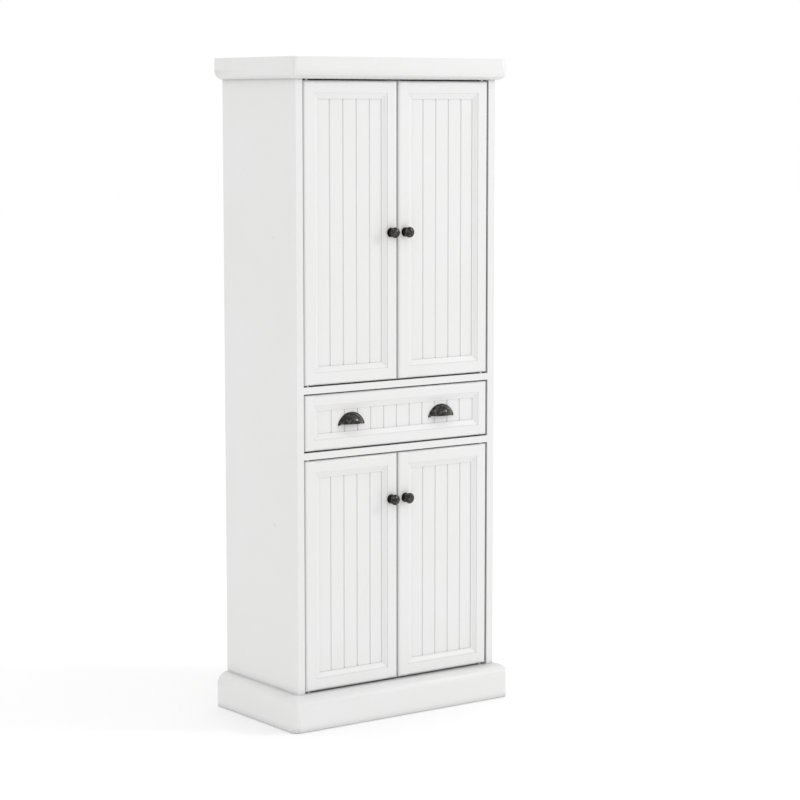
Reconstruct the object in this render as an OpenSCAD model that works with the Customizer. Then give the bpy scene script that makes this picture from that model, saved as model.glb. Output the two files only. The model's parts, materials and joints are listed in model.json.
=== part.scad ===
// Free-standing pantry cabinet: a tall carcass with a crown and a plinth, two upper doors,
// one drawer and two lower doors. Millimetres, +Z up, front towards -Y, origin at the centre
// of the footprint on the floor.

/* [Overall size] */
// Width over the plinth
overall_w = 740; // [700:1:800]
// Depth from the front of the plinth to the back
overall_d = 398; // [380:1:450]
// Height to the top of the crown
overall_h = 1829; // [1800:1:1900]

/* [Carcass] */
// Thickness of the two side panels
side_t = 22; // [18:1:25]
// Thickness of the decks, top and bottom panels and fixed shelves
board_t = 19; // [16:1:22]
// Thickness of the adjustable shelves
shelf_t = 16; // [12:1:18]
// Thickness of the back panels
back_t = 5; // [3:1:6]
// Height of the top face of the deck under the upper doors
upper_deck_z = 943; // [900:0.5:980]
// Height of the top face of the deck under the drawer
drawer_deck_z = 763.5; // [740:0.5:780]
// Centre height of the fixed shelf behind the upper doors
upper_shelf_z = 1342; // [1320:1:1370]
// Centre height of the fixed shelf behind the lower doors
lower_shelf_z = 555; // [530:1:580]
// Heights of the adjustable shelves, to their undersides
loose_shelf_z = [322, 1132, 1552];

/* [Mouldings] */
// How far the plinth stands out from the carcass
base_overhang = 33; // [28:1:36]
// Height of the plinth above the floor
base_h = 98; // [90:1:110]
// How far the crown stands out from the carcass
crown_overhang = 26; // [20:1:28]
// Height of the crown
crown_h = 59; // [55:1:65]
// Height of the crown's flat face, above its round
crown_face_h = 33; // [28:1:33]
// Radius of the upright front corners of crown and plinth
corner_r = 18; // [12:1:22]

/* [Doors and drawer] */
// Thickness of the doors and of the drawer front
door_t = 20; // [18:1:22]
// Gap round each door and round the drawer front
gap = 3; // [3:0.5:4]
// Gap between the two doors of a pair
meeting_gap = 3; // [2:0.5:6]
// Width of the door stiles and rails
door_frame_w = 50; // [46:1:56]
// Width of the drawer front's stiles and rails
drawer_frame_w = 46; // [42:1:48]
// Spacing of the grooves in the beadboard panels
groove_pitch = 44; // [40:1:48]
// Travel of the drawer
drawer_travel = 280; // [200:5:280]

/* [Handles] */
// Height of the knobs on the upper doors
upper_knob_z = 1353; // [1300:1:1400]
// Height of the knobs on the lower doors
lower_knob_z = 612; // [560:1:640]
// Diameter of the knobs
knob_d = 30; // [26:1:32]
// How far the knobs stand out
knob_out = 27; // [24:1:28]
// Distance of each cup pull from the middle of the drawer
pull_x = 154; // [140:1:170]
// Width of the cup pulls
pull_w = 89; // [80:1:96]
// Height of the cup pulls
pull_h = 35; // [34:1:42]
// How far the cup pulls stand out
pull_out = 23; // [20:1:26]

/* [Hidden] */
$fn = 48;
eps = 1;                                // overshoot of a cutting shape past a face

// Colours
white = [0.94, 0.94, 0.93];
inner_white = [0.90, 0.90, 0.89];
pewter = [0.17, 0.16, 0.15];
steel = [0.70, 0.71, 0.73];
plastic = [0.88, 0.88, 0.87];

// Carcass, worked out from the overall size
body_w = overall_w - 2 * base_overhang;
half_body = body_w / 2;
half_in = half_body - side_t;           // inner face of a side panel
front_y = base_overhang - overall_d / 2;
back_y = overall_d / 2;
glide_h = 1.5;                          // the wood starts this high above the floor
nail_head_h = 1;
back_in_y = back_y - nail_head_h - back_t;  // inner face of the back panels
rabbet_w = 10;                          // rebate of the side panels for the back panels
top_z = overall_h - crown_h;            // underside of the top panel
cover_t = 12;
cover_z = overall_h - cover_t;

// Doors and drawer front
edge_r = 8;                             // round on the long edges of doors and drawer front
ogee_w = 16;                            // width of the moulding inside the frame
ogee_step = 1;                          // step at the moulding's outer edge
ogee_end = 6.5;                         // depth of the moulding's inner edge
panel_v = 8;                            // depth of the panel's face behind the frame's face
panel_t = 6;
groove_in = 8;                          // how far a panel sits in the frame's groove
half_front = half_in - gap;             // outer edge of doors and drawer front
door_w = half_front - meeting_gap / 2;
upper_door_z = upper_deck_z + gap;
upper_door_h = top_z - gap - upper_door_z;
lower_door_z = base_h + gap;
lower_door_h = drawer_deck_z - board_t - gap - lower_door_z;
drawer_z = drawer_deck_z + gap;
drawer_h = upper_deck_z - board_t - gap - drawer_z;

// Pivot hinges
pivot_in = 15;                          // pivot axis to the door's outer edge
pivot_x = half_front - pivot_in;
pivot_y = front_y + door_t / 2;
pivot_r = 3;
pivot_clear = 0.05;                     // radial running clearance of a pin in its bush
bush_r = 5;
bush_l = 12;
pin_reach = gap + 10;                   // how far a pin stands out of its door
pin_seat = 20;                          // how far it goes into the door

// Handles
knob_edge = 23;                         // knob axis to the door's meeting edge
knob_x = meeting_gap / 2 + knob_edge;
handle_screw_r = 2;
screw_clear = 0.05;                     // radial clearance of a screw in its handle
screw_play = 0.2;                       // radial play of a screw in the wood
screw_head_r = 4;
screw_head_t = 2.4;
pull_rise = 4;                          // pulls sit this far above the middle of the drawer front
pull_z = drawer_z + drawer_h / 2 + pull_rise;
pull_screw_x = 28;
pull_screw_z = -8;

// Magnetic catches and the strike plates they hold
strike_t = 1.5;
strike_w = 18;
strike_h = 13;
strike_x = 10;                          // inner edge of a strike plate from the middle
catch_h = 17;

// Shelves
shelf_front_y = front_y + door_t + 14;
shelf_pin_r = 2.5;
shelf_pin_in = 9;
shelf_pin_y = [front_y + 66, back_in_y - 50];
hole_pitch = 32;
cap_y = front_y + 112;                  // caps over the screws of the fixed shelves
cap_in = 4;
cap_stem_r = 4;
cap_r = 5.5;

// Back and wall fixing
back_joint_z = upper_deck_z - board_t / 2;
wall_rail_h = 80;
wall_hole_x = 200;
wall_hole_z = top_z - wall_rail_h / 2;
wall_hole_r = 3;

// Drawer
box_t = 12;
slide_t = 13;                           // space for a slide between drawer and side panel
box_half = half_in - slide_t;
box_y = front_y + door_t;
box_l = 310;
box_z = drawer_z + 12;
box_h = 108;
slide_z = box_z + 54;
slide_y = front_y + door_t + 6;
slide_l = 300;
metal_t = 1.2;
slide_play = 1;                         // height left between one channel and the next
runner_h = 45;
middle_h = runner_h - 2 * metal_t - slide_play;
inner_h = middle_h - 2 * metal_t - slide_play;

// Ogee between the flat of a frame member and its inner edge, in (across, depth)
function ogee(flat_w, n = 10) =
    [for (i = [0:n]) [flat_w + ogee_w * i / n,
                      ogee_step + (ogee_end - ogee_step) * (1 - cos(180 * i / n)) / 2]];

// Cross-section of a stile or rail: across from the outer edge, then depth from the face
module frame_section(frame_w) {
    flat_w = frame_w - ogee_w;
    difference() {
        union() {
            translate([edge_r, 0]) square([frame_w - edge_r, door_t]);
            translate([0, edge_r]) square([2 * edge_r, door_t - 2 * edge_r]);
            for (v = [edge_r, door_t - edge_r]) translate([edge_r, v]) circle(r = edge_r);
        }
        polygon(concat([[flat_w, -eps]], ogee(flat_w),
                       [[frame_w + eps, ogee_end], [frame_w + eps, -eps]]));
        translate([frame_w - groove_in - 0.5, panel_v]) square([frame_w, panel_t]);
    }
}

// Slab over a whole front with its top and bottom edges rounded
module rounded_slab(w, h) {
    translate([w + eps, 0, 0]) rotate([0, -90, 0]) linear_extrude(w + 2 * eps) union() {
        translate([edge_r, 0]) square([h - 2 * edge_r, door_t]);
        translate([0, edge_r]) square([h, door_t - 2 * edge_r]);
        for (u = [edge_r, h - edge_r], v = [edge_r, door_t - edge_r])
            translate([u, v]) circle(r = edge_r);
    }
}

// Prism through the thickness of a front, from an outline in (x, z)
module through_front(points) {
    translate([0, door_t + eps, 0]) rotate([90, 0, 0])
        linear_extrude(door_t + 2 * eps) polygon(points);
}

// Left-hand stile of a front w by h, with mitred moulding ends
module stile(h, frame_w) {
    flat_w = frame_w - ogee_w;
    intersection() {
        linear_extrude(h) frame_section(frame_w);
        rounded_slab(frame_w, h);
        through_front([[-eps, -eps], [flat_w, -eps], [flat_w, flat_w], [frame_w, frame_w],
                       [frame_w, h - frame_w], [flat_w, h - flat_w], [flat_w, h + eps],
                       [-eps, h + eps]]);
    }
}

// Bottom rail of a front of width w, with mitred moulding ends
module rail(w, frame_w) {
    flat_w = frame_w - ogee_w;
    intersection() {
        translate([w, 0, 0]) rotate([0, -90, 0]) linear_extrude(w) frame_section(frame_w);
        through_front([[flat_w, -eps], [w - flat_w, -eps], [w - flat_w, flat_w],
                       [w - frame_w, frame_w], [frame_w, frame_w], [flat_w, flat_w]]);
    }
}

module both_stiles(w, h, frame_w) {
    stile(h, frame_w);
    translate([w, 0, 0]) mirror([1, 0, 0]) stile(h, frame_w);
}

module both_rails(w, h, frame_w) {
    rail(w, frame_w);
    translate([0, 0, h]) mirror([0, 0, 1]) rail(w, frame_w);
}

// Beadboard panel with count grooves about its middle
module bead_panel(w, h, frame_w, count) {
    edge = frame_w - groove_in;
    bead_w = 4.4;
    bead_d = 2.2;
    difference() {
        translate([edge, panel_v, edge]) cube([w - 2 * edge, panel_t, h - 2 * edge]);
        for (i = [0:count - 1])
            translate([w / 2 + (i - (count - 1) / 2) * groove_pitch, panel_v, 0])
                linear_extrude(h)
                    polygon([[-bead_w / 2 - eps, -eps], [-bead_w / 2, 0], [0, bead_d],
                             [bead_w / 2, 0], [bead_w / 2 + eps, -eps]]);
    }
}

// Puts a front-shaped child at its lower left corner, or mirrored for the right-hand door
module at_door(right, z) {
    if (right) mirror([1, 0, 0]) translate([-half_front, front_y, z]) children();
    else translate([-half_front, front_y, z]) children();
}

// Quarter disc beyond both axes
module quarter_disc(r) {
    intersection() {
        circle(r = r, $fn = 96);
        square([2 * r, 2 * r]);
    }
}

// Crown section: distance out from the carcass, then depth below the crown's top
module crown_section() {
    quirk_w = 4;
    quirk_h = 2.5;
    difference() {
        union() {
            square([crown_overhang, crown_face_h]);
            translate([0, crown_face_h]) quarter_disc(crown_overhang);
        }
        translate([-eps, crown_face_h + crown_overhang - quirk_h])
            square([quirk_w + eps, quirk_h + eps]);
    }
}

// Plinth section: distance out from the carcass, then height above the wood's lower edge
module base_section() {
    wall_h = base_h - glide_h - base_overhang;
    square([base_overhang, wall_h]);
    translate([0, wall_h]) quarter_disc(base_overhang);
}

// Upright prism over the plan of a moulding that stands out all round, its front corners rounded
module rounded_plan(out, h) {
    half = half_body + out;
    y0 = front_y - out;
    linear_extrude(h) union() {
        translate([corner_r - half, y0]) square([2 * (half - corner_r), back_y - y0]);
        translate([-half, y0 + corner_r]) square([2 * half, back_y - y0 - corner_r]);
        for (s = [-1, 1])
            translate([s * (half - corner_r), y0 + corner_r]) circle(r = corner_r, $fn = 96);
    }
}

// Moulding along the front of the carcass, mitred at both corners
module front_run(z, out, h) {
    far = half_body + out + eps;
    translate([0, 0, z]) intersection() {
        translate([-half_body - out, front_y, 0]) rotate([90, 0, 90]) mirror([1, 0, 0])
            linear_extrude(2 * (half_body + out)) children();
        linear_extrude(h) polygon([[-half_body, front_y], [half_body, front_y],
            [far, front_y - out - eps], [-far, front_y - out - eps]]);
        rounded_plan(out, h);
    }
}

// Moulding along the right side of the carcass, mitred at the front
module side_run(z, out, h) {
    far = half_body + out + eps;
    translate([0, 0, z]) intersection() {
        translate([half_body, back_y, 0]) rotate([90, 0, 0])
            linear_extrude(back_y - front_y + out) children();
        linear_extrude(h) polygon([[half_body, front_y], [far, front_y - out - eps],
            [far, back_y + eps], [half_body, back_y + eps]]);
        rounded_plan(out, h);
    }
}

// Turns a run upside down, its start at the top of the cabinet
module hung_from_top() { translate([0, 0, overall_h]) mirror([0, 0, 1]) children(); }

module crown_front() {
    color(white) hung_from_top() front_run(0, crown_overhang, crown_h) crown_section();
}

module crown_right() {
    color(white) hung_from_top() side_run(0, crown_overhang, crown_h) crown_section();
}

module crown_left() { color(white) mirror([1, 0, 0]) crown_right(); }
module base_front() { color(white) front_run(glide_h, base_overhang, base_h) base_section(); }
module base_right() { color(white) side_run(glide_h, base_overhang, base_h) base_section(); }
module base_left() { color(white) mirror([1, 0, 0]) base_right(); }

module top_cover() {
    color(white) translate([-half_body, front_y, cover_z])
        cube([body_w, back_y - front_y, cover_t]);
}

// Board between the side panels, from y0 back to the back panels
module deck_board(z, y0 = front_y) {
    translate([-half_in, y0, z]) cube([2 * half_in, back_in_y - y0, board_t]);
}

// Holes for a pair of pivot bushes, upwards from z or downwards from it
module bush_holes(z, up) {
    for (s = [-1, 1]) translate([s * pivot_x, pivot_y, up ? z - eps : z - bush_l])
        cylinder(r = bush_r, h = bush_l + eps);
}

module top_panel() {
    color(inner_white) difference() {
        deck_board(top_z);
        bush_holes(top_z, true);
    }
}

module upper_deck() {
    color(white) difference() {
        deck_board(upper_deck_z - board_t);
        bush_holes(upper_deck_z, false);
    }
}

module drawer_deck() {
    color(white) difference() {
        deck_board(drawer_deck_z - board_t);
        bush_holes(drawer_deck_z - board_t, true);
    }
}

module bottom_panel() {
    color(inner_white) difference() {
        deck_board(base_h - board_t);
        bush_holes(base_h, false);
    }
}

module fixed_shelves() {
    color(inner_white) for (z = [upper_shelf_z, lower_shelf_z])
        deck_board(z - board_t / 2, shelf_front_y);
}

// Right-hand side panel with its rebate, shelf-pin holes and shelf-screw holes
module side_panel() {
    difference() {
        translate([half_in, front_y, glide_h]) cube([side_t, back_y - front_y, cover_z - glide_h]);
        translate([half_in - eps, back_in_y, glide_h - eps])
            cube([rabbet_w + eps, back_y - back_in_y + eps, cover_z]);
        for (z = loose_shelf_z, y = shelf_pin_y, i = [-2:2])
            translate([half_in - eps, y, z - shelf_pin_r + i * hole_pitch]) rotate([0, 90, 0])
                cylinder(r = shelf_pin_r, h = shelf_pin_in + 2 * eps);
        for (z = [upper_shelf_z, lower_shelf_z])
            translate([half_body - cap_in, cap_y, z]) rotate([0, 90, 0])
                cylinder(r = cap_stem_r, h = cap_in + eps);
    }
}

module left_side_panel() { color(white) mirror([1, 0, 0]) side_panel(); }
module right_side_panel() { color(white) side_panel(); }

// Plastic caps over the screws that hold the fixed shelves
module screw_caps() {
    cap_proud = 0.8;
    color(plastic) for (s = [0, 1], z = [upper_shelf_z, lower_shelf_z])
        mirror([s, 0, 0]) translate([half_body - cap_in, cap_y, z]) rotate([0, 90, 0]) {
            cylinder(r = cap_stem_r, h = cap_in + cap_proud / 2);
            translate([0, 0, cap_in]) cylinder(r1 = cap_r, r2 = cap_r - cap_proud, h = cap_proud);
        }
}

// Thin board in the rebates of the side panels, between two heights
module back_board(z0, z1) {
    half = half_in + rabbet_w;
    difference() {
        translate([-half, back_in_y, z0]) cube([2 * half, back_t, z1 - z0]);
        for (s = [-1, 1]) translate([s * wall_hole_x, back_in_y - eps, wall_hole_z])
            rotate([-90, 0, 0]) cylinder(r = wall_hole_r, h = back_t + 2 * eps);
    }
}

module upper_back_panel() { color(inner_white) back_board(back_joint_z, cover_z); }
module lower_back_panel() { color(inner_white) back_board(glide_h + 57, back_joint_z); }

// Nails through the back panels into the side panels and decks
module back_nails() {
    head_r = 3;
    shank_r = 0.8;
    shank_l = 16;
    side_x = half_in + rabbet_w / 2;
    rows = 13;
    z0 = glide_h + 80;
    z1 = cover_z - 20;
    places = concat(
        [for (i = [0:rows - 1], s = [-1, 1]) [s * side_x, z0 + (z1 - z0) * i / (rows - 1)]],
        [for (z = [base_h - board_t / 2, drawer_deck_z - board_t / 2, upper_shelf_z, lower_shelf_z,
                   top_z + board_t / 2], x = [-200, 0, 200]) [x, z]]);
    color(steel) for (p = places) translate([p[0], back_y - nail_head_h, p[1]]) rotate([-90, 0, 0]) {
        cylinder(r = head_r, h = nail_head_h);
        translate([0, 0, -shank_l]) cylinder(r = shank_r, h = shank_l + nail_head_h / 2);
    }
}

module adjustable_shelves() {
    side_gap = 1.5;
    color(inner_white) for (z = loose_shelf_z)
        translate([side_gap - half_in, shelf_front_y, z])
            cube([2 * (half_in - side_gap), back_in_y - 2 - shelf_front_y, shelf_t]);
}

// Pins in the side panels under the adjustable shelves
module shelf_pins() {
    color(steel) for (z = loose_shelf_z, y = shelf_pin_y, s = [0, 1])
        mirror([s, 0, 0]) translate([half_in + shelf_pin_in, y, z - shelf_pin_r])
            rotate([0, -90, 0]) cylinder(r = shelf_pin_r, h = 2 * shelf_pin_in);
}

module floor_glides() {
    glide_r = 11;
    color(plastic) for (s = [-1, 1]) {
        translate([s * (half_body - 6), front_y - base_overhang / 2, 0])
            cylinder(r = glide_r, h = glide_h);
        for (y = [0, back_y - 20])
            translate([s * (half_body + base_overhang / 2), y, 0]) cylinder(r = glide_r, h = glide_h);
    }
}

// Rail under the top panel for the two wall screws
module wall_rail() {
    color(inner_white) difference() {
        translate([-half_in, back_in_y - board_t, top_z - wall_rail_h])
            cube([2 * half_in, board_t, wall_rail_h]);
        for (s = [-1, 1]) translate([s * wall_hole_x, back_in_y - board_t - eps, wall_hole_z])
            rotate([-90, 0, 0]) cylinder(r = wall_hole_r, h = board_t + 2 * eps);
    }
}

// Double magnetic catches under the top panel and under the drawer deck
module magnetic_catches() {
    catch_w = 54;
    catch_d = 34;
    face_y = front_y + door_t + strike_t + 0.4;
    color(plastic) for (z = [top_z, drawer_deck_z - board_t]) {
        translate([-catch_w / 2, face_y + 3, z - catch_h]) cube([catch_w, catch_d, catch_h]);
        for (s = [-1, 1])
            translate([s * (strike_x + strike_w / 2) - strike_w / 2, face_y, z - catch_h + 2])
            cube([strike_w, 3, 5]);
    }
}

// Plastic bushes in the decks for the door pivots
module pivot_bushes() {
    lower_ends = [top_z, upper_deck_z - bush_l, drawer_deck_z - board_t, base_h - bush_l];
    color(plastic) for (s = [-1, 1], z = lower_ends)
        translate([s * pivot_x, pivot_y, z]) difference() {
            cylinder(r = bush_r, h = bush_l);
            translate([0, 0, -eps]) cylinder(r = pivot_r + pivot_clear, h = bush_l + 2 * eps);
        }
}

// Channel open towards -X, its web's outer face at x = 0 and its height over the flanges
module channel(height, depth) {
    translate([-metal_t, 0, -height / 2]) cube([metal_t, slide_l, height]);
    for (z = [-height / 2, height / 2 - metal_t])
        translate([-depth, 0, z]) cube([depth, slide_l, metal_t]);
}

module slide_runners() {
    color(steel) for (s = [0, 1]) mirror([s, 0, 0])
        translate([half_in, slide_y, slide_z]) channel(runner_h, 9);
}

module slide_middles() {
    color(steel) for (s = [0, 1]) mirror([s, 0, 0])
        translate([half_in - metal_t - 0.5, slide_y, slide_z]) channel(middle_h, 9);
}

module drawer_slides() {
    color(steel) for (s = [0, 1]) mirror([s, 0, 0])
        translate([box_half, slide_y, slide_z]) mirror([1, 0, 0]) channel(inner_h, 9.5);
}

// Outline of a knob in (radius, distance from the door): rose, waisted neck, rimmed domed head
module knob_outline() {
    rose_r = 8;
    rose_t = 1.8;
    neck_r = 5.5;
    waist_r = 12;                       // radius of the hollow round the neck
    waist_out = 7.5;
    shoulder_r = 10;
    rim_r = 2;
    rim_out = knob_out - 6;             // widest part of the head
    shoulder_out = rim_out - 4;
    flat_r = knob_d / 2 - rim_r;
    dome_r = 19.5;
    bead_r = 0.6;                       // fine groove between the rim and the dome
    bead_at = 9;
    difference() {
        union() {
            square([rose_r, rose_t]);
            translate([0, rose_t]) square([shoulder_r, shoulder_out - rose_t]);
            polygon([[0, shoulder_out], [shoulder_r, shoulder_out],
                     [knob_d / 2 - bead_r, rim_out - 1.4], [0, rim_out]]);
            translate([flat_r, rim_out]) circle(r = rim_r);
            square([flat_r, rim_out + rim_r]);
            intersection() {
                translate([0, knob_out - dome_r]) circle(r = dome_r, $fn = 128);
                translate([0, rim_out]) square([flat_r, knob_out]);
            }
        }
        intersection() {
            translate([neck_r + waist_r, waist_out]) circle(r = waist_r, $fn = 96);
            translate([0, rose_t]) square([knob_d, shoulder_out - rose_t]);
        }
        translate([bead_at, knob_out - 2.1]) circle(r = bead_r, $fn = 24);
    }
}

// Screw along +Y through wood of the given thickness, its tip at y = -reach and its head behind
module handle_screw(reach, wood_t) {
    rotate([-90, 0, 0]) {
        translate([0, 0, -reach]) cylinder(r = handle_screw_r, h = reach + wood_t + eps);
        translate([0, 0, wood_t]) cylinder(r = screw_head_r, h = screw_head_t);
    }
}

// Bore for a handle's screw, along -Y from the handle's seat
module handle_bore(depth) {
    translate([0, eps, 0]) rotate([90, 0, 0])
        cylinder(r = handle_screw_r + screw_clear, h = depth + eps);
}

// Knob with its axis along -Y from the door's face, and the screw that holds it from behind
module knob() {
    screw_in = 12;
    difference() {
        rotate([90, 0, 0]) rotate_extrude($fn = 64) knob_outline();
        handle_bore(screw_in + 1);
    }
    handle_screw(screw_in, door_t);
}

module knob_hole(z) {
    translate([door_w - knob_edge, -eps, z]) rotate([-90, 0, 0])
        cylinder(r = handle_screw_r + screw_play, h = door_t + 2 * eps);
}

module pin_holes(h) {
    for (z = [-eps, h - pin_seat]) translate([pivot_in, door_t / 2, z])
        cylinder(r = pivot_r, h = pin_seat + eps);
}

// One door's pieces. z0 is its lower edge, h its height, knob_z the knob's height
module door_stiles(right, z0, h, knob_z) {
    color(white) at_door(right, z0) difference() {
        both_stiles(door_w, h, door_frame_w);
        knob_hole(knob_z - z0);
        pin_holes(h);
    }
}

module door_rails(right, z0, h) {
    color(white) at_door(right, z0) both_rails(door_w, h, door_frame_w);
}

module door_panel(right, z0, h) {
    color(white) at_door(right, z0) bead_panel(door_w, h, door_frame_w, 4);
}

module door_knob(right, knob_z) {
    color(pewter) translate([(right ? 1 : -1) * knob_x, front_y, knob_z]) knob();
}

// Pivot pins with a collar in the gap
module door_pivots(right, z0, h) {
    collar_r = 4.5;
    collar_h = gap - 0.4;
    color(steel) at_door(right, z0) for (end = [0, 1])
        translate([pivot_in, door_t / 2, end * h]) mirror([0, 0, 1 - end]) {
            translate([0, 0, -pin_seat]) cylinder(r = pivot_r, h = pin_seat + pin_reach);
            cylinder(r = collar_r, h = collar_h);
        }
}

module door_strike(right, z0, h) {
    color(steel) at_door(right, z0)
        translate([door_w + meeting_gap / 2 - strike_x - strike_w, door_t, h - strike_h - 2])
            cube([strike_w, strike_t, strike_h]);
}

module drawer_front() { translate([-half_front, front_y, drawer_z]) children(); }

module drawer_stiles() {
    color(white) drawer_front() both_stiles(2 * half_front, drawer_h, drawer_frame_w);
}

module drawer_rails() {
    color(white) drawer_front() both_rails(2 * half_front, drawer_h, drawer_frame_w);
}

module drawer_panel() {
    color(white) difference() {
        drawer_front() bead_panel(2 * half_front, drawer_h, drawer_frame_w, 11);
        for (x = [-pull_x, pull_x], s = [-1, 1])
            translate([x + s * pull_screw_x, front_y, pull_z + pull_screw_z]) rotate([-90, 0, 0])
                cylinder(r = handle_screw_r + screw_play, h = door_t);
    }
}

module drawer_sides() {
    color(inner_white) for (s = [0, 1]) mirror([s, 0, 0]) difference() {
        translate([box_half - box_t, box_y + box_t, box_z]) cube([box_t, box_l - box_t, box_h]);
        drawer_bottom_space();
    }
}

module drawer_ends() {
    color(inner_white) difference() {
        union() {
            translate([-box_half, box_y, box_z]) cube([2 * box_half, box_t, box_h]);
            translate([box_t - box_half, box_y + box_l - box_t, box_z])
                cube([2 * (box_half - box_t), box_t, box_h]);
        }
        drawer_bottom_space();
    }
}

// Groove for the drawer bottom, 5 mm into the box on every side
module drawer_bottom_space() {
    groove = 5;
    edge = box_t - groove;
    translate([edge - box_half, box_y + edge, box_z + 10])
        cube([2 * (box_half - edge), box_l - 2 * edge, 5]);
}

module drawer_bottom() { color(inner_white) drawer_bottom_space(); }

// Solid turned about an axis along X, its outline an arc of radius r whose top is at radius top_r
module spindle(r, top_r) {
    rotate([0, 90, 0]) rotate_extrude($fn = 96) intersection() {
        translate([top_r - r, 0]) circle(r = r, $fn = 128);
        translate([0, -r]) square([top_r, 2 * r]);
    }
}

// Flat plate on the drawer's panel with an arc for its outline, w wide at its straight lower edge
module plate_segment(w, h, t) {
    r = (w * w / 4 + h * h) / (2 * h);
    intersection() {
        translate([0, 0, h - r]) rotate([90, 0, 0]) cylinder(r = r, h = t, $fn = 96);
        translate([-w, -t - eps, 0]) cube([2 * w, t + 2 * eps, h + eps]);
    }
}

module at_pull_screws() {
    for (s = [-1, 1]) translate([s * pull_screw_x, 0, pull_screw_z]) children();
}

// Cup pull: a hollow quarter-round dome on a flange, open at its lower side, and its screws
module cup_pull(x) {
    wall = 2;
    flange_t = 2;
    flange_w = 4.5;                     // how far the flange's ends stand out past the dome
    lip = 3;                            // the dome's lower edge above the flange's ends
    axis_in = 9;                        // the dome's axis behind the panel's face
    low = -pull_h / 2;
    half_dome = pull_w / 2 - flange_w;
    arc_r = (half_dome * half_dome + pull_out * pull_out) / (2 * pull_out);
    top_r = pull_out + axis_in;
    boss_r = 4;
    boss_h = 9;
    color(pewter) translate([x, front_y + panel_v, pull_z]) {
        difference() {
            union() {
                translate([0, 0, low]) plate_segment(pull_w, pull_h, flange_t);
                intersection() {
                    translate([0, axis_in, low + lip]) spindle(arc_r, top_r);
                    translate([-pull_w, -pull_w, low + lip]) cube([2 * pull_w, pull_w, pull_w]);
                }
            }
            difference() {
                translate([0, axis_in, low + lip]) spindle(arc_r - wall, top_r - wall);
                at_pull_screws() translate([0, eps, 0]) rotate([90, 0, 0])
                    cylinder(r = boss_r, h = boss_h + eps);
            }
            at_pull_screws() handle_bore(boss_h - 1);
        }
        at_pull_screws() handle_screw(boss_h - 2, panel_t);
    }
}

// The pieces that come in left and right, upper and lower
module upper_left_stiles() { door_stiles(false, upper_door_z, upper_door_h, upper_knob_z); }
module upper_left_rails() { door_rails(false, upper_door_z, upper_door_h); }
module upper_left_panel() { door_panel(false, upper_door_z, upper_door_h); }
module upper_left_knob() { door_knob(false, upper_knob_z); }
module upper_left_pivots() { door_pivots(false, upper_door_z, upper_door_h); }
module upper_left_strike() { door_strike(false, upper_door_z, upper_door_h); }
module upper_right_stiles() { door_stiles(true, upper_door_z, upper_door_h, upper_knob_z); }
module upper_right_rails() { door_rails(true, upper_door_z, upper_door_h); }
module upper_right_panel() { door_panel(true, upper_door_z, upper_door_h); }
module upper_right_knob() { door_knob(true, upper_knob_z); }
module upper_right_pivots() { door_pivots(true, upper_door_z, upper_door_h); }
module upper_right_strike() { door_strike(true, upper_door_z, upper_door_h); }
module lower_left_stiles() { door_stiles(false, lower_door_z, lower_door_h, lower_knob_z); }
module lower_left_rails() { door_rails(false, lower_door_z, lower_door_h); }
module lower_left_panel() { door_panel(false, lower_door_z, lower_door_h); }
module lower_left_knob() { door_knob(false, lower_knob_z); }
module lower_left_pivots() { door_pivots(false, lower_door_z, lower_door_h); }
module lower_left_strike() { door_strike(false, lower_door_z, lower_door_h); }
module lower_right_stiles() { door_stiles(true, lower_door_z, lower_door_h, lower_knob_z); }
module lower_right_rails() { door_rails(true, lower_door_z, lower_door_h); }
module lower_right_panel() { door_panel(true, lower_door_z, lower_door_h); }
module lower_right_knob() { door_knob(true, lower_knob_z); }
module lower_right_pivots() { door_pivots(true, lower_door_z, lower_door_h); }
module lower_right_strike() { door_strike(true, lower_door_z, lower_door_h); }
module left_cup_pull() { cup_pull(-pull_x); }
module right_cup_pull() { cup_pull(pull_x); }

crown_front();
crown_left();
crown_right();
top_cover();
top_panel();
left_side_panel();
right_side_panel();
upper_deck();
drawer_deck();
bottom_panel();
upper_back_panel();
lower_back_panel();
back_nails();
fixed_shelves();
adjustable_shelves();
shelf_pins();
base_front();
base_left();
base_right();
floor_glides();
wall_rail();
magnetic_catches();
pivot_bushes();
screw_caps();
slide_runners();
slide_middles();
upper_left_stiles();
upper_left_rails();
upper_left_panel();
upper_left_knob();
upper_left_pivots();
upper_left_strike();
upper_right_stiles();
upper_right_rails();
upper_right_panel();
upper_right_knob();
upper_right_pivots();
upper_right_strike();
lower_left_stiles();
lower_left_rails();
lower_left_panel();
lower_left_knob();
lower_left_pivots();
lower_left_strike();
lower_right_stiles();
lower_right_rails();
lower_right_panel();
lower_right_knob();
lower_right_pivots();
lower_right_strike();
drawer_stiles();
drawer_rails();
drawer_panel();
drawer_sides();
drawer_ends();
drawer_bottom();
drawer_slides();
left_cup_pull();
right_cup_pull();
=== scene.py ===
import json
import math

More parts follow.
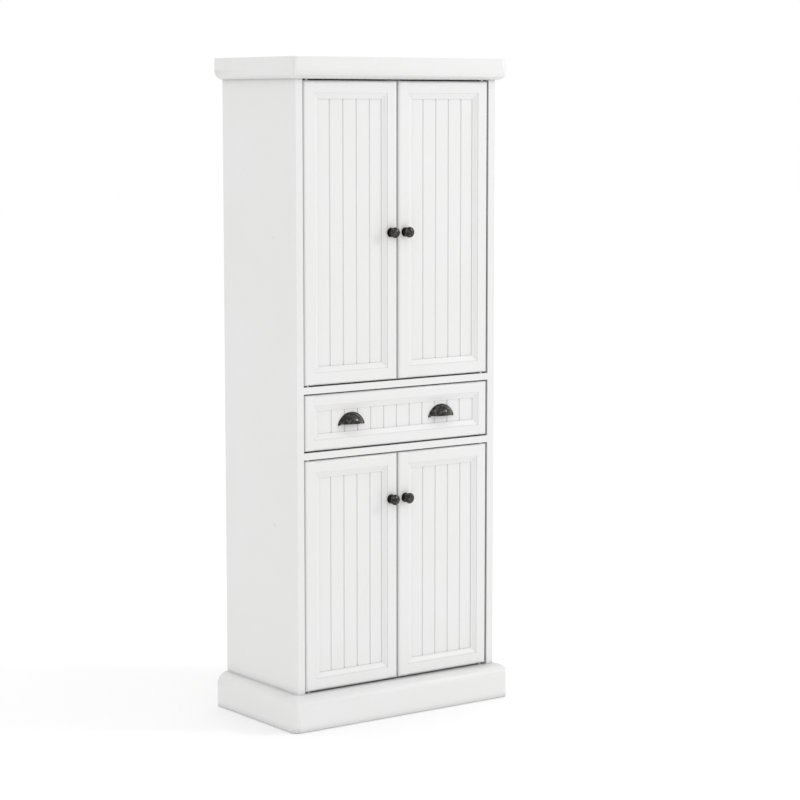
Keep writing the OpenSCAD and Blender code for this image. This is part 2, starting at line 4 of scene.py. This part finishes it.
import bpy
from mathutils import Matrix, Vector


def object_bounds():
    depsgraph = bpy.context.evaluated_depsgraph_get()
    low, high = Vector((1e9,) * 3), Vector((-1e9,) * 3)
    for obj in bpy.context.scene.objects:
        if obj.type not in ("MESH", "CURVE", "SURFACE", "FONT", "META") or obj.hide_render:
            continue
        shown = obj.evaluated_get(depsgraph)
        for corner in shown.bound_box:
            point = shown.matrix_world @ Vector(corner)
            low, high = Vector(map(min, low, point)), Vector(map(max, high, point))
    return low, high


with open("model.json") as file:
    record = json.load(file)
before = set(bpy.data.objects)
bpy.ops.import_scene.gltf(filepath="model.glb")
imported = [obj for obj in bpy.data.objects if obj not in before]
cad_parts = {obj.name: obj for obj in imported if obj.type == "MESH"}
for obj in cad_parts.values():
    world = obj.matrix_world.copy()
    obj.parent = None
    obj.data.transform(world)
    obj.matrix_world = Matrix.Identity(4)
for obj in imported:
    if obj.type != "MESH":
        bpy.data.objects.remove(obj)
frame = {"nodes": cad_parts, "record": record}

cad_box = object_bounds()
low, high = cad_box
centre = (low + high) / 2
scene = bpy.context.scene

# Camera: a three-quarter view from the front left, a little above the middle
CAMERA_AT = (-3.960, -5.606, 1.701)
CAMERA_YAW = 0.6300                     # radians to the right of +Y
CAMERA_PITCH = 0.1203                   # radians below the horizon
CAMERA_LENS = 109.86                    # mm on a 36 mm sensor

# Light
SKY_STRENGTH = 1.0
KEY_AT = (3.5, -2.7, 2.9)
KEY_SIZE = 0.7
KEY_POWER = 38

# Floor
FLOOR_HALF = 30
FLOOR_GLOW = 0.08                       # lifts the pale floor to the background's white

# Paint and the shade painted into it
SHADE_REACH = 0.022                     # how far away a face still darkens hollows and gaps with painted shade
HOLLOW_SHADE_SHARE = 0.74                      # painted shade: the paint's colour in hollows, as a share of the open colour

# Edges
WOOD_EDGE = 0.0007
METAL_EDGE = 0.0003
EDGE_ANGLE = math.radians(32)


def add_node(tree, kind, inputs=None, **settings):
    """A shader node; an input is a value or the socket it is linked to."""
    made = tree.nodes.new(kind)
    for key, value in settings.items():
        setattr(made, key, value)
    for key, value in (inputs or {}).items():
        if isinstance(value, bpy.types.NodeSocket):
            tree.links.new(value, made.inputs[key])
        else:
            made.inputs[key].default_value = value
    return made


def new_material(name, **constants):
    """A Principled material, with its tree, its shader node and object coordinates in metres."""
    material = bpy.data.materials.new(name)
    material.use_nodes = True
    tree = material.node_tree
    shader = tree.nodes["Principled BSDF"]
    for key, value in constants.items():
        shader.inputs[key.replace("_", " ")].default_value = value
    coords = add_node(tree, "ShaderNodeTexCoord").outputs["Object"]
    return material, tree, shader, coords


def noise(tree, coords, scale, detail=2.0, stretch=(1, 1, 1)):
    """Value of a noise whose features are about 1 / scale metres, longer along a small stretch."""
    placed = add_node(tree, "ShaderNodeMapping", {"Vector": coords, "Scale": stretch})
    return add_node(tree, "ShaderNodeTexNoise", {
        "Vector": placed.outputs["Vector"], "Scale": scale, "Detail": detail}).outputs["Fac"]


def spread(tree, value, to_low, to_high, from_low=0.3, from_high=0.7):
    """A noise value stretched from its usual spread to the given range."""
    return add_node(tree, "ShaderNodeMapRange", {
        "Value": value, "From Min": from_low, "From Max": from_high,
        "To Min": to_low, "To Max": to_high}).outputs["Result"]


def mixed(tree, factor, first, second):
    return add_node(tree, "ShaderNodeMix", {"Factor": factor, "A": first, "B": second},
                    data_type="RGBA").outputs["Result"]


def bump(tree, value, depth, under=None):
    inputs = {"Height": value, "Distance": depth, "Strength": 1.0}
    if under:
        inputs["Normal"] = under
    return add_node(tree, "ShaderNodeBump", inputs).outputs["Normal"]


def painted_wood(name, colour, roughness, gap_shade_share):
    """Satin paint on wood: faint clouding, shade in hollows and gaps, brush streaks and stipple."""
    material, tree, shader, coords = new_material(
        name, Metallic=0.0, IOR=1.48, Coat_Weight=0.08, Coat_Roughness=0.25)
    hollow_shade_colour = [c * HOLLOW_SHADE_SHARE for c in colour]
    gap_shade_colour = [c * gap_shade_share for c in colour]
    clouded = [c * s for c, s in zip(colour, (0.985, 0.983, 0.975))]
    tone = mixed(tree, spread(tree, noise(tree, coords, 5, 4), 0, 1), colour + (1,), (*clouded, 1))
    # Painted shade: ambient occlusion darkens the paint's colour in hollows and gaps
    shade = add_node(tree, "ShaderNodeAmbientOcclusion", {"Distance": SHADE_REACH}, samples=8)
    hollow_shade_mask = spread(tree, shade.outputs["AO"], 0, 1, 0.45, 0.92)
    gap_shade_mask = spread(tree, shade.outputs["AO"], 0, 1, 0.08, 0.40)
    tone_with_hollow_shade = mixed(tree, hollow_shade_mask, (*hollow_shade_colour, 1), tone)
    tree.links.new(mixed(tree, gap_shade_mask, (*gap_shade_colour, 1), tone_with_hollow_shade), shader.inputs["Base Color"])
    tree.links.new(spread(tree, noise(tree, coords, 22, 3), roughness - 0.05, roughness + 0.06),
                   shader.inputs["Roughness"])
    streaks = noise(tree, coords, 420, 2, (1, 1, 0.03))
    stipple = noise(tree, coords, 900, 1)
    normal = bump(tree, streaks, 0.00005, bump(tree, stipple, 0.00003))
    tree.links.new(normal, shader.inputs["Normal"])
    return material


def cast_metal(name, dark, worn, roughness):
    """Antiqued cast metal: dark, worn lighter in patches, finely pitted."""
    material, tree, shader, coords = new_material(name, Metallic=0.9)
    patches = spread(tree, noise(tree, coords, 130, 5), 0, 1, 0.45, 0.75)
    tree.links.new(mixed(tree, patches, (*dark, 1), (*worn, 1)), shader.inputs["Base Color"])
    tree.links.new(spread(tree, noise(tree, coords, 240, 3), roughness - 0.07, roughness + 0.1),
                   shader.inputs["Roughness"])
    pits = bump(tree, noise(tree, coords, 1500, 2), 0.00004)
    tree.links.new(bump(tree, noise(tree, coords, 260, 2), 0.0001, pits), shader.inputs["Normal"])
    return material


def plated_steel(name, colour):
    """Zinc-plated steel with drawing lines along the slides and mottled plating."""
    material, tree, shader, coords = new_material(name, Metallic=1.0)
    mottle = spread(tree, noise(tree, coords, 90, 4), 0, 1)
    dull = [c * 0.86 for c in colour]
    tree.links.new(mixed(tree, mottle, colour + (1,), (*dull, 1)), shader.inputs["Base Color"])
    tree.links.new(spread(tree, noise(tree, coords, 60, 3), 0.28, 0.42), shader.inputs["Roughness"])
    lines = noise(tree, coords, 1200, 1, (1, 0.02, 1))
    tree.links.new(bump(tree, lines, 0.00003), shader.inputs["Normal"])
    return material


def moulded_plastic(name, colour):
    """White moulded plastic with a fine matt texture."""
    material, tree, shader, coords = new_material(name, Metallic=0.0, IOR=1.5)
    dull = [c * 0.96 for c in colour]
    tree.links.new(mixed(tree, noise(tree, coords, 60, 2), colour + (1,), (*dull, 1)),
                   shader.inputs["Base Color"])
    tree.links.new(spread(tree, noise(tree, coords, 300, 2), 0.45, 0.6), shader.inputs["Roughness"])
    tree.links.new(bump(tree, noise(tree, coords, 2200, 1), 0.00003), shader.inputs["Normal"])
    return material


# The last number of each painted wood sets how dark its painted shade in gaps goes
finishes = {
    "white_paint": painted_wood("white_satin_paint", (0.765, 0.765, 0.765), 0.36, 0.70),
    "interior_paint": painted_wood("interior_white_board", (0.74, 0.74, 0.73), 0.46, 0.38),
    "dark_hardware": cast_metal("antiqued_pewter", (0.030, 0.028, 0.027), (0.15, 0.145, 0.14), 0.19),
    "steel": plated_steel("zinc_plate", (0.62, 0.63, 0.65)),
    "plastic": moulded_plastic("white_plastic", (0.74, 0.74, 0.72)),
}


def soften_edges(part, width):
    """Joins the node's faces and gives its sharp edges a small round that catches the light."""
    weld = part.modifiers.new("weld", "WELD")
    weld.merge_threshold = 0.00001
    round_edges = part.modifiers.new("edge_round", "BEVEL")
    round_edges.width = width
    round_edges.segments = 2
    round_edges.limit_method = "ANGLE"
    round_edges.angle_limit = EDGE_ANGLE
    round_edges.harden_normals = True
    round_edges.use_clamp_overlap = True


for entry in frame["record"]["subparts"]:
    part = frame["nodes"][entry["node"]]
    slot = entry["material_slot"]
    part.data.materials.clear()
    part.data.materials.append(finishes[slot])
    thin_board = entry["node"].endswith("_back_panel")   # its edges sit inside the rebates
    if slot in ("white_paint", "interior_paint") and not thin_board:
        soften_edges(part, WOOD_EDGE)
    elif slot == "dark_hardware":
        soften_edges(part, METAL_EDGE)


def plain_floor():
    """A wide pale floor under the glides."""
    mesh = bpy.data.meshes.new("floor")
    corners = [(x * FLOOR_HALF, y * FLOOR_HALF, 0) for x, y in ((-1, -1), (1, -1), (1, 1), (-1, 1))]
    mesh.from_pydata(corners, [], [(0, 1, 2, 3)])
    floor = bpy.data.objects.new("floor", mesh)
    scene.collection.objects.link(floor)
    material, tree, shader, coords = new_material("pale_floor", Metallic=0.0, Roughness=0.6,
                                                 Emission_Strength=FLOOR_GLOW)
    tree.links.new(mixed(tree, noise(tree, coords, 1.5, 2), (0.93, 0.93, 0.93, 1),
                         (0.92, 0.92, 0.92, 1)), shader.inputs["Base Color"])
    mesh.materials.append(material)


def soft_light(name, place, size, power):
    """A square area light aimed at the middle of the cabinet."""
    data = bpy.data.lights.new(name, "AREA")
    data.shape = "SQUARE"
    data.size = size
    data.energy = power
    light = bpy.data.objects.new(name, data)
    light.location = place
    light.rotation_euler = (centre - Vector(place)).to_track_quat("-Z", "Y").to_euler()
    scene.collection.objects.link(light)


def studio_sky():
    world = bpy.data.worlds.new("studio")
    world.use_nodes = True
    sky = world.node_tree.nodes["Background"]
    sky.inputs["Color"].default_value = (1, 1, 1, 1)
    sky.inputs["Strength"].default_value = SKY_STRENGTH
    scene.world = world


def photo_camera():
    data = bpy.data.cameras.new("camera")
    data.lens = CAMERA_LENS
    data.sensor_width = 36
    data.clip_end = 200
    camera = bpy.data.objects.new("camera", data)
    camera.location = CAMERA_AT
    camera.rotation_euler = (math.pi / 2 - CAMERA_PITCH, 0, -CAMERA_YAW)
    scene.collection.objects.link(camera)
    scene.camera = camera


plain_floor()
studio_sky()
soft_light("key", KEY_AT, KEY_SIZE, KEY_POWER)
photo_camera()
scene.view_settings.view_transform = "Standard"
